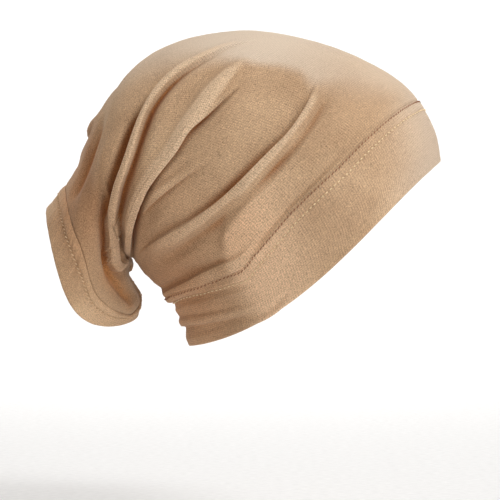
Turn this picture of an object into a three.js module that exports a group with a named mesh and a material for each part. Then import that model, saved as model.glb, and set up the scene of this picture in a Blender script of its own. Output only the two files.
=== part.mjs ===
import * as THREE from 'three';

// A slip-on turban cap: one jersey tube, open at the front and at the tail.
// Millimetres. +X is the front, +Y is the left as the cap is worn, +Z is up.
// The origin is the inside of the crown's top, where the cap rests.

// Driving dimensions
const crownWall = 1.2;      // one layer of jersey, with its pile of small creases
const bandWall = 2;         // the front band is folded double
const hemWall = 2;          // the tail's mouth is turned under once
const seamGap = 0.3;        // clearance along each seam
const hemWidth = 19;        // depth of the turned hem at the mouth

// A ring is a place along the tube. Whole rings are the rows of the section table.
const frontEdgeRing = 0;
const bandSeamRing = 2;
const mouthRing = 15;

// How finely the cloth is cut into facets
const columnCount = 58;
const bandRows = [5];
const crownRows = [10, 9, 8, 13];   // up to each of the three crests below, and on to the hem
const hemRows = [3];
const crestsWithRows = ['longRoll', 'tailTuck', 'sideRoll'];

// Colours of the cloth, from its lit side
const jerseyColour = 0xc9a37c;
const bandColour = 0xc8a580;
const hemColour = 0xc19e7b;
const jerseyRoughness = 0.9;

// One row for each ring, from the front edge to the tail's mouth.
// top and bottom: the tube's upper and lower line, in the plane between left and right.
// halfWidth: half the width across; swing: how far the ring moves to the left.
// bow: how far both walls lean forward of the line from top to bottom, most at peak of the way down.
// tilt: how far the left wall leans forward and the right wall back, most below the middle.
// egg: how much wider the upper half is; sideSag: the small bulge low on each side.
const sectionColumns = ['topX', 'topZ', 'bottomX', 'bottomZ', 'halfWidth', 'swing',
  'bow', 'tilt', 'peak', 'egg', 'sideSag'];
const sectionRows = [
  [125.5, -84, -40.5, -206, 74, 0, 14.5, 0, 0.66, 0.22, 0],
  [121.5, -65, -45, -191.5, 77, 0, 9, 0, 0.62, 0.22, 6],
  [111, -45.5, -55, -174.5, 79, 0, 1.5, 0, 0.66, 0.2, 13],
  [95.5, -30, -60.5, -168.5, 79, 0, 2, 0, 0.5, 0.15, 8.5],
  [66, -14, -65.5, -163, 77, 0, 4, 0, 0.42, 0.1, 4],
  [33, -3.5, -69.5, -159, 75, 0, 0, 0, 0.4, 0.06, 1.5],
  [-2, 1, -72.5, -155, 72, 0, -9, 0, 0.42, 0.02, 0],
  [-33, -2.5, -75, -151.5, 68, 0, -13.5, 0, 0.45, 0, 0],
  [-59.5, -11.5, -77, -149, 64, 1, -14, -1, 0.48, 0, 0],
  [-79, -26, -79, -148, 60, 2, -11.5, -2, 0.5, 0, 0],
  [-95.5, -45.5, -79.5, -150, 57, 4, -6.5, -2, 0.5, 0, 0],
  [-105.5, -66, -79, -154.5, 56, 6, -4.5, -2.5, 0.5, 0, 0],
  [-114.5, -88, -78, -163, 56, 8, -5.5, -4, 0.54, 0, 0],
  [-121.5, -99.5, -75.5, -171, 57, 10, -6.5, -7, 0.64, 0, 0],
  [-127.5, -107, -74.5, -179.5, 57, 11, -7, -11, 0.7, 0.05, 0],
  [-134.5, -115, -76.5, -189.5, 55, 12, -8.5, -15.5, 0.75, 0.1, 0],
];

// The small bulge of a side: how far down the wall it is, and how tall it is
const sagPlace = 0.73;
const sagReach = 0.13;

// Brings the largest lean of a tilted wall to its stated size
const tiltGain = 1.3;

// One row for each fold. route: [ring, angle] places along its crest. Angle 0 is the top line,
// 90 the right side and 180 the lower line.
// rise: height of the crest; half: half of its width.
// The front of a fold faces the band, its back the tail. On each: the depth of the valley
// beside the crest, the width of the slope down to it, and how far the valley takes to die away.
// fadeIn, fadeOut: shares of the route over which the fold comes and goes.
// twin: how many rings further back the left side's copy lies. A fold with no twin crosses the middle.
// gather: how strongly facet lines gather along it.
const foldColumns = ['rise', 'half', 'frontDepth', 'frontSlope', 'frontFade',
  'backDepth', 'backSlope', 'backFade', 'fadeIn', 'fadeOut', 'twin', 'gather'];
const foldRows = {
  sideRoll: {
    route: [[5.8, 34], [6.8, 59], [7.3, 84], [7.7, 105], [8.4, 121], [9.2, 128]],
    values: [2.2, 1.8, 5.5, 5, 6, 5.5, 5, 6, 0.35, 0.2, 0.2, 2.4],
  },
  tailLobe: {
    route: [[8.6, 122], [10, 131], [11.2, 139], [12.3, 152], [13.2, 168]],
    values: [3, 3, 0, 9, 5, 0, 9, 5, 0.3, 0.25, 0.2, 0],
  },
  tailTuck: {
    route: [[5.35, 62], [5.7, 82], [6.05, 104], [6.6, 121], [7.1, 132], [7.6, 145], [8.3, 160]],
    values: [2.5, 1.6, 4.5, 4.5, 7, 0, 14, 4, 0.3, 0.15, -0.15, 1.6],
  },
  smallTuck: {
    route: [[5.3, 98], [5.7, 109], [6.05, 116], [6.5, 124]],
    values: [1.2, 1.4, 2, 4, 4, 0.5, 5, 3, 0.4, 0.3, 0.1, 0],
  },
  crownRidge: {
    route: [[5.6, 47], [5.75, 64], [5.9, 79], [6.2, 96]],
    values: [1.6, 1, 0.8, 8, 8, 0.5, 8, 8, 0.35, 0.35, 0.1, 0],
  },
  longRoll: {
    route: [[3.95, 52], [3.85, 73], [3.9, 92], [4.2, 108], [4.5, 124], [4.9, 142], [5.3, 154]],
    values: [2.4, 2.4, 1.6, 7, 8, 3.5, 5, 9, 0.3, 0.35, 0.25, 1.8],
  },
  bandRoll: {
    route: [[2.05, 112], [1.85, 128], [1.8, 144], [1.85, 162], [1.9, 180], [1.85, 202], [1.8, 224], [2.05, 246]],
    values: [1.6, 3, 0, 6, 4, 3, 5, 5, 0.25, 0.25, null, 0],
  },
  backDip: {
    route: [[9.6, 50], [10.6, 54], [11.6, 57], [12.6, 61]],
    values: [-3, 2, 0, 10, 4, 0, 10, 4, 0.35, 0.25, -0.4, 0],
  },
  underDip: {
    route: [[1.2, 116], [1.3, 134], [1.35, 150], [1.4, 180], [1.35, 210], [1.25, 240]],
    values: [-1.4, 1, 0, 4.5, 3, 0, 4.5, 3, 0.3, 0.3, null, 0],
  },
  underRoll: {
    route: [[0.5, 116], [0.7, 133], [0.85, 152], [0.9, 180], [0.75, 214], [0.5, 240]],
    values: [1.4, 1.4, 0.8, 4.5, 4, 0, 4.5, 3, 0.3, 0.3, null, 0],
  },
  pocket: {
    route: [[11.2, 118], [12.1, 123], [12.8, 132], [13.3, 143], [13.8, 156], [14.2, 170]],
    values: [-4, 2, 0, 8, 4, 0, 8, 4, 0.35, 0.3, 0.1, 0],
  },
  backKnuckle: {
    route: [[10.4, -20], [10.6, 0], [10.5, 14], [10, 32]],
    values: [2, 1.2, 0, 5, 3, 0, 5, 3, 0.4, 0.4, null, 0],
  },
};
const samplesPerRoute = 80;

// Facet lines gather where the folds run
const gatherReach = 0.4;
const sideGatherAngle = 120;
const sideGatherReach = 32;
const sideGatherStrength = 1;

// Small steps for slopes of the cloth
const ringStep = 0.05;
const angleStep = 1;

const degrees = Math.PI / 180;

function smoothstep(value) {
  const x = Math.min(Math.max(value, 0), 1);
  return x * x * (3 - 2 * x);
}

function bell(value) {
  return Math.exp(-value * value);
}

// A smooth curve through rows of numbers; place counts rows from 0
function throughRows(rows, place) {
  const last = rows.length - 1;
  const i = Math.min(Math.max(Math.floor(place), 0), last - 1);
  const t = place - i;
  const [b, c] = [rows[i], rows[i + 1]];
  const a = i > 0 ? rows[i - 1] : b.map((value, k) => 2 * value - c[k]);
  const d = i < last - 1 ? rows[i + 2] : c.map((value, k) => 2 * value - b[k]);
  return b.map((value, k) => 0.5 * (2 * value + (c[k] - a[k]) * t
    + (2 * a[k] - 5 * value + 4 * c[k] - d[k]) * t * t
    + (3 * value - a[k] - 3 * c[k] + d[k]) * t * t * t));
}

function sectionAt(ring) {
  const values = throughRows(sectionRows, ring);
  return Object.fromEntries(sectionColumns.map((column, k) => [column, values[k]]));
}

// The smooth tube without its folds
function tubePoint(ring, angle) {
  const s = sectionAt(ring);
  const across = Math.sin(angle * degrees);
  const upward = Math.cos(angle * degrees);
  const down = (1 - upward) / 2;
  const fallX = s.bottomX - s.topX;
  const fallZ = s.bottomZ - s.topZ;
  const fall = Math.hypot(fallX, fallZ);
  const bent = down ** (Math.log(0.5) / Math.log(s.peak));
  const bow = s.bow * 4 * bent * (1 - bent);
  const tilt = s.tilt * tiltGain * across * Math.sqrt(down);
  const lean = bow + tilt + s.sideSag * bell((down - sagPlace) / sagReach) * across * across;
  return new THREE.Vector3(
    s.topX + fallX * down - (fallZ / fall) * lean,
    -s.halfWidth * across * (1 + s.egg * upward) + s.swing,
    s.topZ + fallZ * down + (fallX / fall) * lean,
  );
}

// Outward direction of a surface given by a function of ring and angle
function outward(surface, ring, angle) {
  const along = surface(ring + ringStep, angle).sub(surface(ring - ringStep, angle));
  const around = surface(ring, angle + angleStep).sub(surface(ring, angle - angleStep));
  return along.cross(around).normalize();
}

// A fold's crest laid on the tube: places, the way to its front, and how strong it is there
function layFold(row, side) {
  const values = Object.fromEntries(foldColumns.map((column, k) => [column, row.values[k]]));
  const shift = side < 0 ? values.twin : 0;
  const route = row.route.map(([ring, angle]) => [ring + shift, angle * side]);
  const places = [];
  for (let i = 0; i <= samplesPerRoute; i += 1) {
    const share = i / samplesPerRoute;
    const [ring, angle] = throughRows(route, share * (route.length - 1));
    const strength = smoothstep(share / values.fadeIn) * smoothstep((1 - share) / values.fadeOut);
    places.push({ ring, angle, strength, point: tubePoint(ring, angle) });
  }
  places.forEach((place, i) => {
    const before = places[Math.max(i - 1, 0)].point;
    const after = places[Math.min(i + 1, samplesPerRoute)].point;
    const normal = outward(tubePoint, place.ring, place.angle);
    place.along = after.clone().sub(before).normalize();
    place.front = normal.cross(place.along).multiplyScalar(Math.sign(route.at(-1)[1] - route[0][1]));
  });
  return { ...values, places };
}

const folds = Object.entries(foldRows).flatMap(([name, row]) => {
  const near = { name, side: 1, ...layFold(row, 1) };
  return near.twin === null ? [near] : [near, { name, side: -1, ...layFold(row, -1) }];
});

// How a fold moves a point of the tube along the wall's normal
function foldShift(fold, point, normal) {
  let nearest = fold.places[0];
  for (const place of fold.places) {
    if (point.distanceToSquared(place.point) < point.distanceToSquared(nearest.point)) nearest = place;
  }
  const offset = point.clone().sub(nearest.point);
  offset.addScaledVector(nearest.along, -offset.dot(nearest.along));
  const distance = offset.length();
  const forward = Math.sign(offset.dot(nearest.front));
  const beside = distance - fold.half;
  const [depth, slope, fade] = forward > 0
    ? [fold.frontDepth, fold.frontSlope, fold.frontFade]
    : [fold.backDepth, fold.backSlope, fold.backFade];
  const fallen = smoothstep(beside / slope);
  const height = fold.rise * (1 - fallen) - depth * fallen * bell(Math.max(beside, 0) / (slope + fade));
  return normal.clone().multiplyScalar(height * nearest.strength);
}

// The outer face of the cloth, folds included
function clothPoint(ring, angle) {
  const point = tubePoint(ring, angle);
  const normal = outward(tubePoint, ring, angle);
  const moved = point.clone();
  for (const fold of folds) moved.add(foldShift(fold, point, normal));
  return moved;
}

// Cuts a range into steps of equal weight
function spread(count, start, end, weight) {
  const fine = 200;
  const places = Array.from({ length: fine + 1 }, (_, i) => start + ((end - start) * i) / fine);
  const sums = [0];
  for (let i = 1; i <= fine; i += 1) sums.push(sums[i - 1] + weight((places[i] + places[i - 1]) / 2));
  const steps = [];
  let i = 0;
  for (let step = 0; step <= count; step += 1) {
    const target = (sums[fine] * step) / count;
    while (i < fine - 1 && sums[i + 1] < target) i += 1;
    const share = (target - sums[i]) / (sums[i + 1] - sums[i]);
    steps.push(places[i] + (places[i + 1] - places[i]) * share);
  }
  return steps;
}

const columnAngles = spread(columnCount, -180, 180, (angle) => (
  1 + sideGatherStrength * bell((Math.abs(angle) - sideGatherAngle) / sideGatherReach))).slice(0, -1);

// Where a fold's crest crosses a line of one angle, and how strongly facet rows gather there
function foldCrossing(fold, angle) {
  const { places } = fold;
  const turn = Math.sign(places.at(-1).angle - places[0].angle);
  const i = Math.max(places.findIndex((place) => (place.angle - angle) * turn > 0), 0);
  const after = (places.at(-1).angle - angle) * turn <= 0 ? places.at(-1) : places[i];
  const before = places[Math.max(i - 1, 0)];
  const gap = after.angle - before.angle;
  const share = i > 0 && gap !== 0 ? (angle - before.angle) / gap : 1;
  const ring = before.ring + (after.ring - before.ring) * Math.min(share, 1);
  return { name: fold.name, side: fold.side, ring, gather: fold.gather * after.strength };
}

const rim = columnAngles.map((angle) => tubePoint(mouthRing, angle));

// The ring where the hem's seam crosses a line of one angle, a hem's width from the rim
function hemSeamRing(angle) {
  let ring = mouthRing;
  let width = 0;
  while (width < hemWidth) {
    ring -= ringStep;
    const place = tubePoint(ring, angle);
    width = Math.min(...rim.map((point) => point.distanceTo(place)));
  }
  return ring;
}

const columns = columnAngles.map((angle) => ({
  angle,
  hemRing: hemSeamRing(angle),
  crossings: folds.map((fold) => foldCrossing(fold, angle)),
}));

// Rings of some rows along one column, closer together where a fold crosses it
function rowRings(column, rowCount, start, end) {
  return spread(rowCount, start, end, (ring) => {
    const gathered = column.crossings.reduce((sum, crossing) => (
      sum + crossing.gather * bell((ring - crossing.ring) / gatherReach)), 0);
    const length = tubePoint(ring + ringStep, column.angle).distanceTo(tubePoint(ring - ringStep, column.angle));
    return length * (1 + gathered);
  });
}

// A closed length of tube with two faces and two rims. stopsOf gives the rings that each column
// must meet, rows how many rows lie between them, startGap and endGap how far the rims stand back.
function clothLength({ name, wall, colour, rows, stopsOf, startGap = 0, endGap = 0 }) {
  const rings = columns.map((column) => {
    const stops = stopsOf(column);
    return rows.flatMap((count, i) => rowRings(column, count, stops[i], stops[i + 1]).slice(i > 0 ? 1 : 0));
  });
  const rowCount = rings[0].length - 1;
  const outer = [];
  const inner = [];
  for (let row = 0; row <= rowCount; row += 1) {
    const standBack = (row === 0 ? startGap : 0) - (row === rowCount ? endGap : 0);
    const smoothOrFolded = row === 0 || row === rowCount ? tubePoint : clothPoint;
    columns.forEach(({ angle }, j) => {
      const ring = rings[j][row];
      const normal = outward(smoothOrFolded, ring, angle);
      const tailward = tubePoint(ring + ringStep, angle).sub(tubePoint(ring - ringStep, angle)).normalize();
      const point = clothPoint(ring, angle).addScaledVector(tailward, standBack);
      outer.push(...point);
      inner.push(...point.addScaledVector(normal, -wall));
    });
  }
  const innerStart = outer.length / 3;
  const faces = [];
  const quad = (a, b, c, d) => faces.push(a, b, c, a, c, d);
  for (let j = 0; j < columnCount; j += 1) {
    const next = (j + 1) % columnCount;
    for (let row = 0; row < rowCount; row += 1) {
      const [a, b] = [row * columnCount + j, (row + 1) * columnCount + j];
      const [c, d] = [(row + 1) * columnCount + next, row * columnCount + next];
      quad(a, b, c, d);
      quad(innerStart + a, innerStart + d, innerStart + c, innerStart + b);
    }
    const far = rowCount * columnCount;
    quad(j, next, innerStart + next, innerStart + j);
    quad(far + j, innerStart + far + j, innerStart + far + next, far + next);
  }
  const geometry = new THREE.BufferGeometry();
  geometry.setAttribute('position', new THREE.Float32BufferAttribute([...outer, ...inner], 3));
  geometry.setIndex(faces);
  geometry.computeVertexNormals();
  const material = new THREE.MeshStandardMaterial({ color: colour, roughness: jerseyRoughness, metalness: 0 });
  const mesh = new THREE.Mesh(geometry, material);
  mesh.name = name;
  return mesh;
}

// The double band round the front opening
const frontBand = clothLength({
  name: 'front_band',
  wall: bandWall,
  colour: bandColour,
  rows: bandRows,
  stopsOf: () => [frontEdgeRing, bandSeamRing],
  endGap: seamGap / 2,
});

// The single layer from the band's seam over the top and down the tail
function crownStops(column) {
  const side = column.angle < 0 ? -1 : 1;
  const crests = crestsWithRows.map((name) => (
    column.crossings.find((crossing) => crossing.name === name && crossing.side === side).ring));
  return [bandSeamRing, ...crests, column.hemRing];
}

const crown = clothLength({
  name: 'crown',
  wall: crownWall,
  colour: jerseyColour,
  rows: crownRows,
  stopsOf: crownStops,
  startGap: seamGap / 2,
  endGap: seamGap / 2,
});

// The turned hem at the tail's mouth
const tailHem = clothLength({
  name: 'tail_hem',
  wall: hemWall,
  colour: hemColour,
  rows: hemRows,
  stopsOf: (column) => [column.hemRing, mouthRing],
  startGap: seamGap / 2,
});

const turbanCap = new THREE.Group();
turbanCap.add(frontBand, crown, tailHem);

export default turbanCap;
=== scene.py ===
import math
import random

import bpy
import numpy as np
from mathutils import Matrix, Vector, noise


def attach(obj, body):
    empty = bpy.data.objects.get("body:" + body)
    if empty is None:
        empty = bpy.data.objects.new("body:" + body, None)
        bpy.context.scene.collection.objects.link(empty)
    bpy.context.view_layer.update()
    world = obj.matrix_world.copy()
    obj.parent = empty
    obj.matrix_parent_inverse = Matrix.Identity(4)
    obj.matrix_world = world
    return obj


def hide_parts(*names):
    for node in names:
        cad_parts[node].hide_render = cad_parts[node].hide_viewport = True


# A slip-on turban cap: one tube of jersey with a double band in front and a turned hem at the tail.
# Tables are in millimetres, Blender is in metres. +X is the front, +Y the left as it is worn, +Z up.
# A ring is a place along the tube: 0 the front edge, 2 the band's seam, 15 the tail's mouth.
# An angle is a place round it: 0 the top line, 90 the right side, 180 the lower line.

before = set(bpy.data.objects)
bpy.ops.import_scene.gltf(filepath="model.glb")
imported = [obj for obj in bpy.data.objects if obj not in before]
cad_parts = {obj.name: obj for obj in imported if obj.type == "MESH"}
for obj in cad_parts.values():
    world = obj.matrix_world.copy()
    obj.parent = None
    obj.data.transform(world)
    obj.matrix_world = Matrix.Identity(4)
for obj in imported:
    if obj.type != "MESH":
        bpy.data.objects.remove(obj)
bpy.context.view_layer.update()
print("frame loaded")

# The tube without folds

tube = {
    "columns": ["topX", "topZ", "bottomX", "bottomZ", "halfWidth", "swing",
                "bow", "tilt", "peak", "egg", "sideSag"],
    "rings": [
        [125.5, -84, -40.5, -206, 74, 0, 14.5, 0, 0.66, 0.22, 0],
        [121.5, -65, -45, -191.5, 77, 0, 9, 0, 0.62, 0.22, 6],
        [111, -45.5, -55, -174.5, 79, 0, 1.5, 0, 0.66, 0.2, 13],
        [95.5, -30, -60.5, -168.5, 79, 0, 2, 0, 0.5, 0.15, 8.5],
        [66, -14, -65.5, -163, 77, 0, 4, 0, 0.42, 0.1, 4],
        [33, -3.5, -69.5, -159, 75, 0, 0, 0, 0.4, 0.06, 1.5],
        [-2, 1, -72.5, -155, 72, 0, -9, 0, 0.42, 0.02, 0],
        [-33, -2.5, -75, -151.5, 68, 0, -13.5, 0, 0.45, 0, 0],
        [-59.5, -11.5, -77, -149, 64, 1, -14, -1, 0.48, 0, 0],
        [-79, -26, -79, -148, 60, 2, -11.5, -2, 0.5, 0, 0],
        [-95.5, -45.5, -79.5, -150, 57, 4, -6.5, -2, 0.5, 0, 0],
        [-105.5, -66, -80, -154.5, 56, 6, -4.5, -2.5, 0.5, 0, 0],
        [-114.5, -88, -80.5, -163, 56, 8, -5.5, -4, 0.54, 0, 0],
        [-121.5, -99.5, -78, -171, 57, 10, -6.5, -7, 0.64, 0, 0],
        [-127.5, -107, -74.5, -179.5, 57, 11, -7, -11, 0.7, 0.05, 0],
        [-134.5, -115, -76.5, -189.5, 55, 12, -8.5, -15.5, 0.75, 0.1, 0],
    ],
    "sagPlace": 0.73,           # how far down the wall the bulge of a side is
    "sagReach": 0.13,
    "tiltGain": 1.3,
    "mouthRing": 15,
    "ringStep": 0.02,           # small steps for the tube's slopes and lengths
    "angleStep": 0.6,
    "lengthStep": 0.03,
}


def smooth(value):
    x = np.clip(value, 0, 1)
    return x * x * (3 - 2 * x)


def unit(vectors):
    return vectors / np.maximum(np.linalg.norm(vectors, axis=-1, keepdims=True), 1e-9)


def throughRows(rows, place):
    # a smooth curve through the rows, Catmull-Rom
    rows = np.asarray(rows, float)
    place = np.asarray(place, float)
    rows = np.concatenate([2 * rows[:1] - rows[1:2], rows, 2 * rows[-1:] - rows[-2:-1]])
    i = np.clip(np.floor(place).astype(int), 0, len(rows) - 4)
    t = (place - i)[..., None]
    a, b, c, d = rows[i], rows[i + 1], rows[i + 2], rows[i + 3]
    return 0.5 * (2 * b + (c - a) * t + (2 * a - 5 * b + 4 * c - d) * t**2
                  + (3 * b - a - 3 * c + d) * t**3)


def tubePoint(ring, angle):
    ring, angle = np.broadcast_arrays(np.asarray(ring, float), np.asarray(angle, float))
    values = throughRows(tube["rings"], ring)
    s = {name: values[..., k] for k, name in enumerate(tube["columns"])}
    across, upward = np.sin(np.radians(angle)), np.cos(np.radians(angle))
    down = (1 - upward) / 2
    fallX, fallZ = s["bottomX"] - s["topX"], s["bottomZ"] - s["topZ"]
    fall = np.hypot(fallX, fallZ)
    bent = down ** (math.log(0.5) / np.log(s["peak"]))
    lean = s["bow"] * 4 * bent * (1 - bent) + s["tilt"] * tube["tiltGain"] * across * np.sqrt(down)
    sag = np.exp(-((down - tube["sagPlace"]) / tube["sagReach"]) ** 2)
    lean = lean + s["sideSag"] * sag * across**2
    x = s["topX"] + fallX * down - fallZ / fall * lean
    y = -s["halfWidth"] * across * (1 + s["egg"] * upward) + s["swing"]
    z = s["topZ"] + fallZ * down + fallX / fall * lean
    return np.stack([x, y, z], -1)


def tubeNormal(ring, angle):
    ringStep, angleStep = tube["ringStep"], tube["angleStep"]
    along = tubePoint(ring + ringStep, angle) - tubePoint(ring - ringStep, angle)
    around = tubePoint(ring, angle + angleStep) - tubePoint(ring, angle - angleStep)
    return unit(np.cross(along, around))


def tubeLength(ring, angle):
    # how much length of the tube a small step from ring to ring takes up
    step = tube["lengthStep"]
    return np.linalg.norm(tubePoint(ring + step, angle) - tubePoint(ring - step, angle), axis=-1)


# The folds. Each row of a route is ring, angle, crest, half, front, back:
# how much of the crest's rise is there, half its width, and how much of the valley
# on the band's side (front) and on the tail's side (back) is there.
# A hollow, whose rise is below zero, has rows without front and back.
# A side is depth of the valley, width of the slope to it, how far it takes to die away,
# and how far the crest laps over it. Twin is how many rings further on the left side's copy
# lies; None is a fold without a copy.

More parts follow.
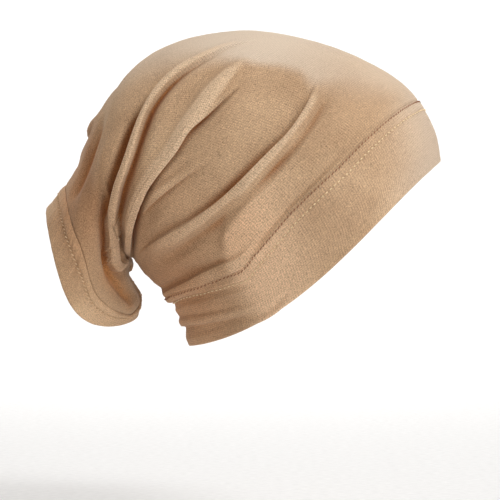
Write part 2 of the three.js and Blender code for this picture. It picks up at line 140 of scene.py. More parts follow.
folds = {
    "sideRoll": {
        "rise": 2.8,
        "front": (5.4, 1.3, 5.0, 0.4),
        "back": (9.0, 1.5, 8.0, 1.4),
        "twin": 0.2,
        "route": [
            (5.6, 27, 0.0, 0.8, 0.0, 0.0),
            (5.85, 33, 0.4, 1.2, 0.0, 0.0),
            (6.11, 39, 0.7, 1.7, 0.1, 0.0),
            (6.37, 46, 0.9, 2.0, 0.3, 0.0),
            (6.67, 52.5, 1.0, 2.0, 0.55, 0.0),
            (6.91, 59, 1.0, 1.9, 0.8, 0.0),
            (7.08, 66, 1.0, 1.6, 0.95, 0.0),
            (7.2, 73, 1.0, 1.2, 1.05, 0.1),
            (7.25, 79, 1.0, 1.0, 1.1, 0.55),
            (7.28, 84, 1.0, 1.0, 1.1, 0.85),
            (7.37, 94, 1.0, 1.0, 1.1, 1.0),
            (7.57, 103, 1.0, 1.1, 1.1, 0.95),
            (7.95, 112, 1.0, 1.4, 1.05, 0.85),
            (8.38, 120.2, 1.0, 1.8, 1.0, 0.75),
            (9.15, 128.2, 1.0, 2.5, 0.9, 0.65),
            (10.2, 131.2, 1.0, 3.4, 0.8, 0.6),
            (11.0, 136, 1.0, 3.7, 0.7, 0.55),
            (11.4, 142.3, 1.0, 3.4, 0.6, 0.5),
            (11.5, 150, 0.9, 2.6, 0.5, 0.4),
            (11.2, 158, 0.8, 1.8, 0.45, 0.3),
            (10.6, 165, 0.5, 1.4, 0.3, 0.2),
            (9.9, 172, 0.0, 1.2, 0.0, 0.0),
        ],
    },
    "pocket": {
        "rise": -3.0,
        "front": (0.0, 2.6, 3.0, 0.0),
        "back": (0.0, 3.2, 3.0, 0.0),
        "twin": None,
        "route": [
            (11.1, 127, 0.0, 0.6),
            (11.7, 131, 0.7, 1.0),
            (12.31, 139, 1.0, 1.6),
            (12.68, 153, 1.0, 2.2),
            (13.35, 163.5, 0.9, 2.0),
            (13.9, 170, 0.0, 1.4),
        ],
    },
    "lobeRoll": {
        "rise": 2.2,
        "front": (0.0, 2.6, 3.0, 0.0),
        "back": (0.8, 7.0, 3.0, 0.0),
        "twin": None,
        "route": [
            (11.6, 164, 0.0, 0.8, 0.0, 0.0),
            (11.95, 170, 0.8, 1.2, 1.0, 1.0),
            (12.4, 176, 1.0, 1.6, 1.0, 1.0),
            (12.95, 180, 1.0, 1.6, 1.0, 1.0),
            (13.5, 183, 0.7, 1.4, 0.6, 0.6),
            (14.0, 187, 0.0, 1.0, 0.0, 0.0),
        ],
    },
    "tailTuck": {
        "rise": 3.2,
        "front": (3.9, 0.9, 2.6, 2.0),
        "back": (0.0, 7.0, 4.0, 0.0),
        "twin": -0.15,
        "route": [
            (5.4, 58, 0.0, 1.2, 0.0, 0),
            (5.52, 66, 0.6, 1.2, 0.3, 0),
            (5.62, 73, 0.8, 1.2, 0.6, 0),
            (5.74, 79, 0.9, 1.2, 0.9, 0),
            (5.88, 84.5, 1.0, 1.2, 1.0, 0),
            (5.94, 89, 1.0, 1.2, 1.0, 0),
            (6.02, 96, 1.0, 1.2, 1.0, 0),
            (6.27, 105, 1.0, 1.2, 1.0, 0),
            (6.58, 113, 1.0, 1.2, 1.15, 0),
            (6.9, 122, 1.0, 1.2, 1.4, 0),
            (7.22, 131, 1.0, 1.3, 1.5, 0),
            (7.62, 141, 1.0, 1.5, 1.5, 0),
            (8.1, 152, 0.9, 1.7, 1.2, 0),
            (8.8, 163, 0.5, 1.9, 0.5, 0),
            (9.3, 174, 0.0, 2.0, 0.0, 0),
        ],
    },
    "smallTuck": {
        "rise": 1.5,
        "front": (2.6, 1.1, 4.5, 1.2),
        "back": (0.8, 3.0, 4.0, 0.0),
        "twin": 0.1,
        "route": [
            (5.2, 94, 0.0, 1.4, 0.0, 0.0),
            (5.45, 102, 0.6, 1.6, 0.7, 0.6),
            (5.75, 110, 1.0, 1.6, 1.0, 1.0),
            (6.05, 116.5, 1.0, 1.6, 1.0, 1.0),
            (6.4, 123, 0.6, 1.5, 0.6, 0.5),
            (6.75, 129, 0.0, 1.4, 0.0, 0.0),
        ],
    },
    "crownRidge": {
        "rise": 3.0,
        "front": (1.3, 5.0, 7.0, 0.0),
        "back": (0.9, 6.0, 7.0, 0.0),
        "twin": 0.1,
        "route": [
            (5.45, 40, 0.0, 1.5, 0.0, 0.0),
            (5.58, 49, 0.6, 1.8, 0.5, 0.6),
            (5.7, 60, 1.0, 2.2, 1.0, 1.0),
            (5.8, 69, 1.0, 2.2, 1.0, 1.0),
            (5.9, 79, 0.9, 2.0, 1.0, 1.0),
            (6.02, 88.5, 0.5, 1.8, 0.6, 0.6),
            (6.2, 98, 0.0, 1.5, 0.0, 0.0),
        ],
    },
    "longRoll": {
        "rise": 3.0,
        "front": (0.8, 5.5, 5.0, 0.0),
        "back": (4.2, 1.5, 7.0, 1.4),
        "twin": 0.25,
        "route": [
            (4.12, 48, 0.0, 1.4, 0.0, 0.0),
            (4.0, 56, 0.7, 1.6, 0.9, 0.2),
            (3.9, 64, 1.0, 1.7, 1.0, 0.45),
            (3.82, 74, 1.0, 1.7, 1.0, 0.6),
            (3.84, 83, 1.0, 1.8, 1.0, 0.8),
            (3.88, 92, 1.0, 1.8, 1.0, 0.95),
            (3.94, 100, 1.0, 2.0, 1.0, 1.0),
            (4.09, 108, 1.0, 2.2, 1.0, 0.85),
            (4.26, 116, 1.0, 2.4, 1.0, 0.7),
            (4.47, 125, 0.9, 2.8, 0.9, 0.5),
            (4.8, 133, 0.8, 3.0, 0.7, 0.35),
            (5.25, 143, 0.5, 3.0, 0.4, 0.2),
            (5.75, 156, 0.0, 3.0, 0.0, 0.0),
        ],
    },
    "softValley": {
        "rise": -3.0,
        "front": (0.0, 5.0, 3.0, 0.0),
        "back": (0.0, 4.5, 3.0, 0.0),
        "twin": 0.2,
        "route": [
            (3.82, 48, 0.0, 0.5),
            (3.74, 60, 0.8, 0.6),
            (3.66, 72, 1.0, 0.8),
            (3.58, 82, 1.0, 0.8),
            (3.52, 91, 1.0, 0.8),
            (3.6, 99, 0.8, 0.8),
            (3.75, 107, 0.5, 1.0),
            (3.86, 115, 0.5, 1.4),
            (3.96, 125, 0.6, 1.6),
            (3.96, 135, 0.5, 1.4),
            (4.1, 148, 0.0, 1.0),
        ],
    },
    "seamDip": {
        "rise": -2.2,
        "front": (0.0, 1.8, 3.0, 0.0),
        "back": (0.0, 3.6, 3.0, 0.0),
        "twin": 0.0,
        "route": [
            (2.3, 60, 0.0, 0.4),
            (2.15, 73, 0.8, 0.5),
            (2.02, 85, 1.0, 0.6),
            (1.99, 98, 1.0, 0.6),
            (2.07, 110, 1.0, 0.6),
            (2.0, 119, 0.0, 0.4),
        ],
    },
    "bandRoll": {
        "rise": 1.8,
        "front": (0.6, 3.0, 4.0, 0.0),
        "back": (2.2, 2.4, 5.0, 0.8),
        "twin": None,
        "route": [
            (2.08, 108, 0.0, 2.4, 0.0, 0.0),
            (2.0, 118, 0.5, 2.6, 0.4, 0.5),
            (1.9, 130, 1.0, 2.8, 1.0, 1.0),
            (1.86, 145, 1.0, 2.8, 1.0, 1.0),
            (1.95, 162, 1.0, 2.8, 1.0, 1.0),
            (2.0, 180, 0.9, 2.8, 1.0, 0.9),
            (1.92, 202, 1.0, 2.8, 1.0, 1.0),
            (1.88, 222, 0.8, 2.6, 0.8, 0.8),
            (2.05, 246, 0.0, 2.4, 0.0, 0.0),
        ],
    },
    "backDip": {
        "rise": -5.2,
        "front": (0.0, 9.0, 3.0, 0.0),
        "back": (0.0, 5.5, 3.0, 0.0),
        "twin": None,
        "route": [
            (9.5, 49, 0.0, 0.8),
            (10.0, 52, 0.7, 1.0),
            (10.4, 53.5, 0.9, 1.2),
            (10.9, 53.2, 1.0, 1.4),
            (11.4, 52.5, 1.0, 1.6),
            (11.8, 51.5, 0.9, 1.6),
            (12.2, 51, 0.6, 1.4),
            (12.7, 52, 0.0, 1.0),
        ],
    },
    "underDip": {
        "rise": -1.8,
        "front": (0.0, 3.2, 3.0, 0.0),
        "back": (0.0, 3.2, 3.0, 0.0),
        "twin": None,
        "route": [
            (1.28, 116, 0.0, 0.8),
            (1.36, 130, 0.8, 0.9),
            (1.46, 144, 1.0, 1.0),
            (1.6, 159, 1.0, 1.0),
            (1.62, 180, 0.8, 1.0),
            (1.5, 206, 1.0, 1.0),
            (1.3, 238, 0.0, 1.0),
        ],
    },
    "underRoll": {
        "rise": 1.7,
        "front": (1.4, 2.2, 3.5, 0.4),
        "back": (0.4, 3.0, 3.0, 0.0),
        "twin": None,
        "route": [
            (0.46, 116, 0.0, 1.2, 0.0, 0.0),
            (0.62, 131, 0.7, 1.4, 0.8, 0.7),
            (0.82, 148, 1.0, 1.5, 1.0, 1.0),
            (0.98, 164, 1.0, 1.5, 1.0, 1.0),
            (1.0, 182, 1.0, 1.5, 1.0, 1.0),
            (0.8, 212, 0.8, 1.4, 0.8, 0.8),
            (0.5, 240, 0.0, 1.2, 0.0, 0.0),
        ],
    },
    "edgeCrease": {
        "rise": -1.5,
        "front": (0.0, 2.4, 3.0, 0.0),
        "back": (0.0, 2.4, 3.0, 0.0),
        "twin": 0.05,
        "route": [
            (0.36, 107, 0.0, 0.4),
            (0.2, 113, 1.0, 0.5),
            (0.14, 119, 1.0, 0.5),
            (0.2, 125, 0.7, 0.5),
            (0.34, 132, 0.0, 0.4),
        ],
    },
    "bulgeEdge": {
        "rise": 0.9,
        "front": (0.0, 22.0, 6.0, 0.0),
        "back": (0.9, 3.5, 9.0, 0.0),
        "twin": 0.1,
        "route": [
            (3.62, 92, 0.0, 3, 0, 0.0),
            (3.55, 101, 0.8, 4, 0, 0.7),
            (3.45, 110, 1.0, 4, 0, 1.0),
            (3.05, 117, 1.0, 4, 0, 1.0),
            (2.4, 121, 0.9, 4, 0, 0.8),
            (1.7, 122, 0.6, 4, 0, 0.5),
            (1.1, 121, 0.0, 4, 0, 0.0),
        ],
    },
    "backKnuckle": {
        "rise": 3.0,
        "front": (0.3, 4.5, 3.0, 0.0),
        "back": (0.8, 3.2, 3.5, 0.8),
        "twin": None,
        "route": [
            (12.1, -64, 0.0, 1.2, 0.0, 0.0),
            (11.75, -50, 0.5, 1.6, 0.6, 0.5),
            (11.35, -35, 0.8, 1.8, 0.9, 0.8),
            (11.05, -18, 0.9, 1.7, 1.0, 0.9),
            (10.93, 2, 1.1, 1.4, 1.0, 1.1),
            (10.65, 15, 0.9, 1.4, 0.9, 0.9),
            (10.1, 33, 0.0, 1.0, 0.0, 0.0),
        ],
    },
    "backSweep": {
        "rise": 1.9,
        "front": (1.0, 4.0, 5.0, 0.3),
        "back": (1.8, 3.5, 5.0, 0.8),
        "twin": None,
        "route": [
            (7.7, -66, 0.0, 1.4, 0.0, 0.0),
            (8.3, -57, 0.7, 1.8, 0.7, 0.6),
            (9.0, -47, 1.0, 2.0, 1.0, 1.0),
            (9.7, -36, 1.0, 2.2, 1.0, 1.0),
            (10.3, -24, 0.7, 2.2, 0.7, 0.7),
            (10.7, -12, 0.0, 2.0, 0.0, 0.0),
        ],
    },
    "farDip": {
        "rise": -2.6,
        "front": (0.0, 7.0, 4.0, 0.0),
        "back": (0.0, 6.0, 4.0, 0.0),
        "twin": None,
        "route": [
            (9.3, -72, 0.0, 1.0),
            (10.1, -68, 0.8, 1.6),
            (11.0, -66, 1.0, 2.6),
            (11.9, -69, 1.0, 3.6),
            (12.8, -76, 0.6, 4.0),
            (13.5, -84, 0.0, 3.0),
        ],
    },
}

# Soft waves of the cloth: ring and angle at both ends and half way, height, width
waves = [
    (6.6, 60, 6.75, 90, 7.0, 118, 1.1, 6.0),
    (5.1, 108, 5.6, 126, 6.3, 143, 0.9, 3.4),
    (4.95, 118, 5.35, 132, 5.9, 148, -0.9, 3.0),
    (3.35, 84, 3.5, 100, 3.85, 118, 0.7, 4.0),
    (3.0, 124, 3.4, 138, 4.0, 152, 0.9, 4.2),
    (2.6, 126, 2.75, 140, 3.2, 158, -0.8, 3.4),
    (3.6, 128, 4.0, 142, 4.5, 156, -0.8, 3.6),
    (7.45, 66, 8.14, 86, 9.0, 108, 1.9, 2.8),
    (5.9, 114, 6.2, 134, 6.6, 152, -1.8, 5.0),
    (8.3, 76, 10.3, 88, 12.3, 118, 1.8, 6.0),
    (8.6, 58, 9.2, 74, 10.2, 80, -0.9, 4.5),
    (11.2, 74, 12.2, 78, 13.2, 84, 0.9, 5.5),
    (12.4, 96, 13.0, 104, 13.7, 116, 0.8, 4.2),
    (8.6, 134, 9.6, 146, 10.8, 158, -1.0, 3.4),
    (9.4, 142, 10.4, 154, 11.6, 166, 0.9, 3.2),
    (2.45, 64, 2.6, 86, 2.75, 108, 0.9, 5.0),
    (4.5, 26, 4.6, 42, 4.5, 58, 0.6, 9.0),
    (7.0, 8, 7.4, 28, 7.9, 48, 0.6, 8.0),
    (9.2, -8, 9.4, 12, 9.4, 30, -0.8, 5.0),
    (11.4, -10, 11.5, 8, 11.4, 26, 0.6, 5.0),
    (11.2, -36, 11.7, -18, 11.9, 2, -1.0, 3.2),
    (9.5, 22, 10.4, 33, 11.6, 40, 0.9, 3.6),
    (8.3, 34, 9.3, 27, 10.2, 12, -0.8, 4.0),
    (0.9, 96, 0.75, 108, 0.8, 122, -0.5, 3.4),
    (1.1, 128, 1.15, 142, 1.25, 158, 0.6, 2.6),
    (0.3, 134, 0.42, 150, 0.5, 170, -0.9, 2.0),
    (0.2, 150, 0.25, 168, 0.22, 188, 0.5, 2.0),
]

waveLaying = {"samples": 40, "leftShift": 0.12, "reach": 3}

smallCreases = {
    "seed": 11,
    "count": 46,
    "samples": 30,
    "rings": (3.2, 9.5),        # where a crease starts
    "angles": (70, 125),
    "run": (10, 26),            # degrees that it runs round the tube
    "drift": (0.1, 0.35),       # rings that it drifts towards the tail
    "fan": 0.06,                # the drift changes by this for each ring away from fanRing
    "fanRing": 7.2,
    "bend": 0.4,                # share of the drift that it has half way
    "height": 0.45,
    "heightShare": (0.4, 1),
    "width": (1.4, 2.8),
}

clothNoise = {
    "seed": 5,
    "large": {"height": 0.45, "perRing": 1.1, "perDegree": 0.035},
    "small": {"height": 0.14, "perRing": 4.5, "perDegree": 0.13, "layer": 3},
}

foldLaying = {
    "samples": 110,             # places along a crest
    "margin": 8,                # how far beyond its valleys a fold still reaches
    "round": 0.2,               # how much lower a crest is at its edges than in the middle
    "leastHalf": 0.1,
    "leastFade": 0.35,          # share of its fade that a shallow valley keeps
    "lapBack": 1.4,             # how far the lap turns back at the foot of the slope
    "facing": (0.1, 0.6),       # cloth that faces away from the crest stays where it is
    "pastEnd": 2,               # steps and millimetres past a crest's end
    "pointsAtOnce": 8000,
}


def layCrest(route, side, shift, count):
    route = [(*row, 0, 0)[:6] for row in route]
    rows = throughRows(route, np.linspace(0, len(route) - 1, count))
    rows[:, 2:] = np.maximum(rows[:, 2:], 0)
    if side < 0:
        rows[:, 0] += shift
        rows[:, 1] *= -1
    line = tubePoint(rows[:, 0], rows[:, 1])
    normal = tubeNormal(rows[:, 0], rows[:, 1])
    step = np.gradient(line, axis=0)
    turn = np.sign(rows[-1, 1] - rows[0, 1])
    front = unit(np.cross(normal, step)) * turn
    return {"rows": rows, "line": line, "normal": normal, "front": front,
            "along": unit(step), "step": np.linalg.norm(step, axis=1)}


def nearCrest(crest, points, normals, reach):
    # which points lie near a crest, their place on it and their signed distance, front positive
    line = crest["line"]
    low, high = line.min(0) - reach, line.max(0) + reach
    picked = np.flatnonzero(((points > low) & (points < high)).all(-1))
    if len(picked) == 0:
        return picked, None, None, None
    q = points[picked]
    k = np.empty(len(q), int)
    many = foldLaying["pointsAtOnce"]
    for start in range(0, len(q), many):
        part = q[start:start + many]
        k[start:start + many] = ((part[:, None] - line[None]) ** 2).sum(-1).argmin(1)
    offset = q - line[k]
    forward = (offset * crest["along"][k]).sum(-1)
    place = np.clip(k + forward / crest["step"][k], 0, len(line) - 1)
    offset = offset - crest["along"][k] * forward[:, None]
    distance = np.linalg.norm(offset, axis=-1) * np.sign((offset * crest["front"][k]).sum(-1))
    alike = (normals[picked] * crest["normal"][k]).sum(-1)
    slack, span = foldLaying["facing"]
    facing = smooth((alike + slack) / span)
    past = foldLaying["pastEnd"]
    facing[np.abs(forward) > past * crest["step"][k] + past] = 0
    return picked, place, distance, facing


def raiseFold(fold, crest, points, normals, moved):
    reach = foldLaying["margin"] + max(fold[side][1] + 2 * fold[side][2] for side in ("front", "back"))
    picked, place, distance, facing = nearCrest(crest, points, normals, reach)
    if len(picked) == 0:
        return
    samples = np.arange(len(crest["line"]))
    crestShare, half, frontShare, backShare = (
        np.interp(place, samples, crest["rows"][:, k]) for k in range(2, 6))
    inFront = distance > 0
    depth, slope, fade, lap = (np.where(inFront, fold["front"][k], fold["back"][k]) for k in range(4))
    share = np.where(inFront, frontShare, backShare)
    away = np.abs(distance)
    beside = away - half
    fallen = smooth(beside / slope)
    least = foldLaying["leastFade"]
    dying = np.exp(-(np.maximum(beside - slope, 0) / (fade * (least + (1 - least) * share))) ** 2)
    outward = np.clip(away / np.maximum(half, foldLaying["leastHalf"]), 0, 1) ** 2
    raised = fold["rise"] * crestShare * (1 - foldLaying["round"] * outward) * (1 - fallen)
    height = raised - depth * share * fallen * dying
    edge = np.where(beside < 0, outward, (1 - foldLaying["lapBack"] * fallen) * dying)
    lapped = lap * share * edge * np.sign(distance)
    k = np.round(place).astype(int)
    moved[picked] += normals[picked] * (height * facing)[:, None]
    moved[picked] += crest["front"][k] * (lapped * facing)[:, None]


def raiseWave(crest, height, width, points, normals, moved):
    picked, place, distance, facing = nearCrest(crest, points, normals, waveLaying["reach"] * width)
    if len(picked) == 0:
        return
    share = np.sin(np.pi * place / (len(crest["line"]) - 1)) ** 2
    raised = height * share * facing * np.exp(-(distance / width) ** 2)
    moved[picked] += normals[picked] * raised[:, None]


foldCrests = []
for name, fold in folds.items():
    twins = [(1, 0)] if fold["twin"] is None else [(1, 0), (-1, fold["twin"])]
    for side, shift in twins:
        foldCrests.append((name, fold, layCrest(fold["route"], side, shift, foldLaying["samples"])))

waveCrests = []
for r0, a0, r1, a1, r2, a2, height, width in waves:
    for side, shift in ((1, 0), (-1, waveLaying["leftShift"])):
        crest = layCrest([(r0, a0), (r1, a1), (r2, a2)], side, shift, waveLaying["samples"])
        waveCrests.append((crest, height, width))

dice = random.Random(smallCreases["seed"])
for _ in range(smallCreases["count"]):
    side = dice.choice((1, -1))
    start, turn = dice.uniform(*smallCreases["rings"]), dice.uniform(*smallCreases["angles"])
    run = dice.uniform(*smallCreases["run"])
    fanned = (smallCreases["fanRing"] - start) * smallCreases["fan"]
    drift = fanned + dice.uniform(*smallCreases["drift"])
    height = dice.choice((1, -1)) * smallCreases["height"] * dice.uniform(*smallCreases["heightShare"])
    bend = (start + drift * smallCreases["bend"], turn + run / 2)
    route = [(start, turn), bend, (start + drift, turn + run)]
    crest = layCrest(route, side, 0, smallCreases["samples"])
    waveCrests.append((crest, height, dice.uniform(*smallCreases["width"])))


def unevenness(ring, angle):
    seed, large, small = clothNoise["seed"], clothNoise["large"], clothNoise["small"]
    slow = noise.noise(Vector((ring * large["perRing"] + seed, angle * large["perDegree"], 0)))
    quick = noise.noise(Vector((
        ring * small["perRing"], angle * small["perDegree"] + seed, small["layer"])))
    return large["height"] * slow + small["height"] * quick


def clothPoints(ring, angle):
    # the tube with its folds, waves and unevenness, and how far each point stands out of the tube
    shape = ring.shape
    ring, angle = ring.ravel(), angle.ravel()
    points = tubePoint(ring, angle)
    normals = tubeNormal(ring, angle)
    moved = points.copy()
    for _, fold, crest in foldCrests:
        raiseFold(fold, crest, points, normals, moved)
    for crest, height, width in waveCrests:
        raiseWave(crest, height, width, points, normals, moved)
    uneven = np.array([unevenness(r, a) for r, a in zip(ring, angle)])
    moved += normals * uneven[:, None]
    rise = ((moved - points) * normals).sum(-1)
    return moved.reshape(*shape, 3), rise.reshape(shape)


print(f"folds laid: {len(foldCrests)} folds, {len(waveCrests)} waves and creases")

# Grids of cloth and shells made from them

cutting = {
    "fineSteps": 400,
    "reachRings": 2.5,          # how many rings away a given length is looked for
    "seamFromRing": 10,         # the hem's seam lies between this ring and the mouth
    "rimPoints": 240,
    "sideAngle": 120,           # columns lie closer together at the sides
    "sideReach": 32,
    "sideShare": 0.8,
    "rimTurns": (45, 90, 135),
    "innerStep": 2,             # the inner face has every second row
    "innerBlur": 3,
    "roundPitch": 1.4,          # millimetres of knit for each degree round the tube
}
rimLine = tubePoint(tube["mouthRing"], np.linspace(-180, 180, cutting["rimPoints"]))


def valueAt(table, place):
    return np.interp(place, *zip(*table))


def spread(count, start, end, weight):
    # places from start to end, closer together where weight is high
    fine = np.linspace(start, end, cutting["fineSteps"])
    sums = np.concatenate([[0], np.cumsum(weight((fine[1:] + fine[:-1]) / 2))])
    return np.interp(np.linspace(0, sums[-1], count + 1), sums, fine)


def ringAtLength(angle, fromRing, length):
    # the ring a given length along the tube from another ring; negative is towards the front
    rings = fromRing + np.sign(length) * np.linspace(0, cutting["reachRings"], cutting["fineSteps"])
    points = tubePoint(rings, angle)
    run = np.concatenate([[0], np.cumsum(np.linalg.norm(np.diff(points, axis=0), axis=1))])
    return float(np.interp(abs(length), run, rings))


def bandSeamRing(angle):
    return float(valueAt(bandSize["seam"], abs(angle)))


def hemSeamRing(angle):
    rings = np.linspace(tube["mouthRing"], cutting["seamFromRing"], cutting["fineSteps"])
    points = tubePoint(rings, angle)
    distance = np.sqrt(((points[:, None] - rimLine[None]) ** 2).sum(-1).min(1))
    return float(rings[np.argmax(distance >= valueAt(hemSize["widths"], angle))])


def blurColumns(grid, passes):
    # evens the grid along the rows, which run with the folds
    for _ in range(passes):
        grid = 0.5 * grid + 0.25 * (np.roll(grid, 1, 1) + np.roll(grid, -1, 1))
    return grid


def gridNormals(grid):
    along = np.gradient(grid, axis=0)
    around = np.roll(grid, -1, 1) - np.roll(grid, 1, 1)
    return unit(np.cross(along, around))


def alongLengths(grid):
    steps = np.linalg.norm(np.diff(grid, axis=0), axis=-1)
    return np.concatenate([np.zeros((1, grid.shape[1])), np.cumsum(steps, axis=0)])


def sideAngles(count):
    reach, share = cutting["sideReach"], cutting["sideShare"]
    angles = spread(count, -180, 180, lambda angle: (
        1 + share * np.exp(-((np.abs(angle) - cutting["sideAngle"]) / reach) ** 2)))
    return angles[:-1]


def clothUv(grid, angles):
    lengths = alongLengths(grid)
    return np.stack([np.broadcast_to(angles * cutting["roundPitch"], lengths.shape), lengths], -1)


def makePiece(name, vertices, faces):
    mesh = bpy.data.meshes.new(name)
    mesh.from_pydata(vertices, [], faces)
    mesh.polygons.foreach_set("use_smooth", [True] * len(faces))
    mesh.update()
    piece = bpy.data.objects.new(name, mesh)
    bpy.context.scene.collection.objects.link(piece)
    return piece


def torus(name, rows, uv, shades):
    # rows of points closed both ways, with the knit's map and the values that colour it
    index = np.arange(rows.shape[0] * rows.shape[1]).reshape(rows.shape[:2])
    below, right = np.roll(index, -1, 0), np.roll(index, -1, 1)
    quads = np.stack([index, below, np.roll(below, -1, 1), right], -1).reshape(-1, 4)
    piece = makePiece(name, rows.reshape(-1, 3).tolist(), quads.tolist())
    corners = uv.reshape(-1, 2)[quads]
    wrapped = np.broadcast_to(np.arange(rows.shape[1]) == rows.shape[1] - 1, index.shape).ravel()
    corners[wrapped, 2:, 0] += 360 * cutting["roundPitch"]
    layer = piece.data.uv_layers.new(name="cloth")
    layer.data.foreach_set("uv", corners.reshape(-1).astype(np.float32))
    for shade, values in shades.items():
        attribute = piece.data.attributes.new(shade, "FLOAT", "POINT")
        attribute.data.foreach_set("value", np.array(values).reshape(-1).astype(np.float32))
    return piece


def shell(name, grid, wall, uv, shades):
    # a closed length of cloth: outer face, rounded rim, inner face, rounded rim
    normals = gridNormals(grid)
    wall = np.broadcast_to(np.asarray(wall, float), grid.shape[:2])[..., None]
    half = wall / 2
    inner = grid - unit(blurColumns(normals, cutting["innerBlur"])) * wall
    turns = cutting["rimTurns"]

    def rim(row, nextRow):
        away = unit(grid[row] - grid[nextRow])
        arcs = []
        for turn in turns:
            t = math.radians(turn)
            middle = grid[row] - normals[row] * half[row]
            arcs.append(middle + normals[row] * half[row] * math.cos(t) + away * half[row] * math.sin(t))
        return arcs

    innerRows = list(range(len(grid) - 1, -1, -cutting["innerStep"]))
    if innerRows[-1] != 0:
        innerRows.append(0)
    rows = list(grid) + rim(-1, -2) + [inner[i] for i in innerRows] + rim(0, 1)[::-1]
    uvRows = list(uv) + [uv[-1]] * len(turns) + [uv[i] for i in innerRows] + [uv[0]] * len(turns)
    shadeRows = {}
    for shade, values in shades.items():
        outside = list(values) + [values[-1]] * len(turns)
        inside = [values[i] * 0 for i in innerRows]
        shadeRows[shade] = outside + inside + [values[0]] * len(turns)
    return torus(name, np.array(rows) / 1000, np.array(uvRows), shadeRows)


# Painted light and shade on the worn cloth: the top and the bulges of the sides are painted paler
# where light falls on them, and the pocket beside the tail's hem is painted in shade. Edges are angles at a
# ring, blurs in degrees.

paintedLightAndShade = {
    "paintedLightTopEdge": [(0.3, 50), (1.5, 40), (2.6, 30), (3.6, 42), (4.23, 49.5), (4.58, 45), (4.98, 45),
                (5.45, 47.5), (6, 48), (7.5, 46), (10, 34)],
    "paintedLightTopBlur": [(2, 44), (3.6, 28), (4.3, 9), (5.4, 7), (5.8, 12), (6.6, 34), (10, 40)],
    "paintedLightTopShare": [(1.9, 0.6), (2.15, 0.6), (3.8, 0.55), (4.6, 0.8), (5.2, 1.0), (6.5, 1.0), (9.0, 0.3),
                 (10.5, 0.0)],
    "sideEdge": [(0.2, 123), (0.97, 126), (1.35, 127), (2.18, 124.5), (2.67, 122), (3.16, 119),
                 (3.5, 113), (3.6, 98)],
    "sideBlur": [(1.2, 16), (2.0, 4.5)],
    "sideStart": [(1.2, 86), (3.0, 76)],
    "sideStartBlur": 28,
    "sideLastRing": 3.55,
    "sideLastBlur": 0.3,
    "pocket": [(12.3, 139), (12.5, 147), (12.68, 155), (13.1, 161), (13.5, 166)],
    "paintedShadePocketReach": 6,
}

# How much warmer and darker the cloth looks where little light reaches it
warmth = {
    "columns": ["ring", 0, 45, 90, 120, 150, 180],
    "rows": [
        (0, 0.0, 0.0, 0.0, 0.0, 0.6, 0.8),
        (1.5, 0.0, 0.0, 0.0, 0.1, 0.9, 1.1),
        (2.8, 0.0, 0.1, 0.0, 0.3, 1.0, 1.2),
        (4.5, 0.0, 0.0, 0.0, 0.3, 0.7, 0.9),
        (6.5, 0.0, 0.0, 0.0, 0.3, 0.5, 0.6),
        (9.6, 0.0, 0.0, 0.4, 0.5, 0.6, 0.6),
        (11.0, 0.8, 1.0, 0.8, 0.5, 0.4, 0.2),
        (12.5, 0.6, 1.0, 0.5, 0.2, 0.3, 0.0),
        (15.0, 0.0, 0.2, 0.1, 0.0, 0.1, 0.2),
    ],
}


def warmthAt(rings, away):
    table = np.array(warmth["rows"])
    places = warmth["columns"][1:]
    shares = [np.interp(rings, table[:, 0], table[:, k + 1]) for k in range(len(places))]
    total = shares[0]
    for k in range(1, len(places)):
        passed = smooth((away - places[k - 1]) / (places[k] - places[k - 1]))
        total = total + (shares[k] - shares[k - 1]) * passed
    return total


def shadesAt(rings, angles):
    away = np.abs(angles)
    # painted light: the top of the crown is painted paler
    top = smooth((valueAt(paintedLightAndShade["paintedLightTopEdge"], rings) - away) / valueAt(paintedLightAndShade["paintedLightTopBlur"], rings) + 0.5)
    top = top * valueAt(paintedLightAndShade["paintedLightTopShare"], rings)
    # painted light: the bulges of the sides are painted paler
    bulge = smooth((valueAt(paintedLightAndShade["sideEdge"], rings) - away) / valueAt(paintedLightAndShade["sideBlur"], rings) + 0.5)
    bulge = bulge * smooth((paintedLightAndShade["sideLastRing"] - rings) / paintedLightAndShade["sideLastBlur"])
    bulge = bulge * smooth((away - valueAt(paintedLightAndShade["sideStart"], rings)) / paintedLightAndShade["sideStartBlur"])
    # painted shade in the pocket beside the tail's hem
    points = tubePoint(rings, angles)
    distances = [np.linalg.norm(points - tubePoint(*place), axis=-1) for place in paintedLightAndShade["pocket"]]
    pocket = np.exp(-(np.min(distances, axis=0) / paintedLightAndShade["paintedShadePocketReach"]) ** 2)
    return {"top": top, "bulge": bulge, "pocket": pocket, "warm": warmthAt(rings, away)}


# Crown

crownSize = {
    "wall": 0.9,
    "columns": 172,
    # rows of the grid up to each of these crests, which a row follows, and on to the hem
    "stopsAt": ["longRoll", "tailTuck", "sideRoll"],
    "rows": [74, 66, 58, 118],
    "lastStop": 10.8,
    "tuckUnder": 2.6,       # how far it goes under the band and the hem
    "tuckDepth": 1.0,
    "tuckEarly": 1.0,
    "tuckSlope": 3.2,
    "gatherAt": {"sideRoll": 3.4, "tailTuck": 3.0, "longRoll": 2.2, "smallTuck": 1.2, "bandRoll": 1.2,
                 "crownRidge": 0.6},
    "gatherLeast": 0.25,
    "gatherReach": 0.32,
    "seamGather": 2.5,
    "bandSeamReach": 0.14,
    "hemSeamReach": 0.3,
}


def crestAt(crest, angle, column, beyond=None):
    # a crest's ring (column 0) or its share of height (column 2) where it crosses an angle
    rows = crest["rows"]
    order = np.argsort(rows[:, 1])
    return float(np.interp(angle, rows[order, 1], rows[order, column], left=beyond, right=beyond))


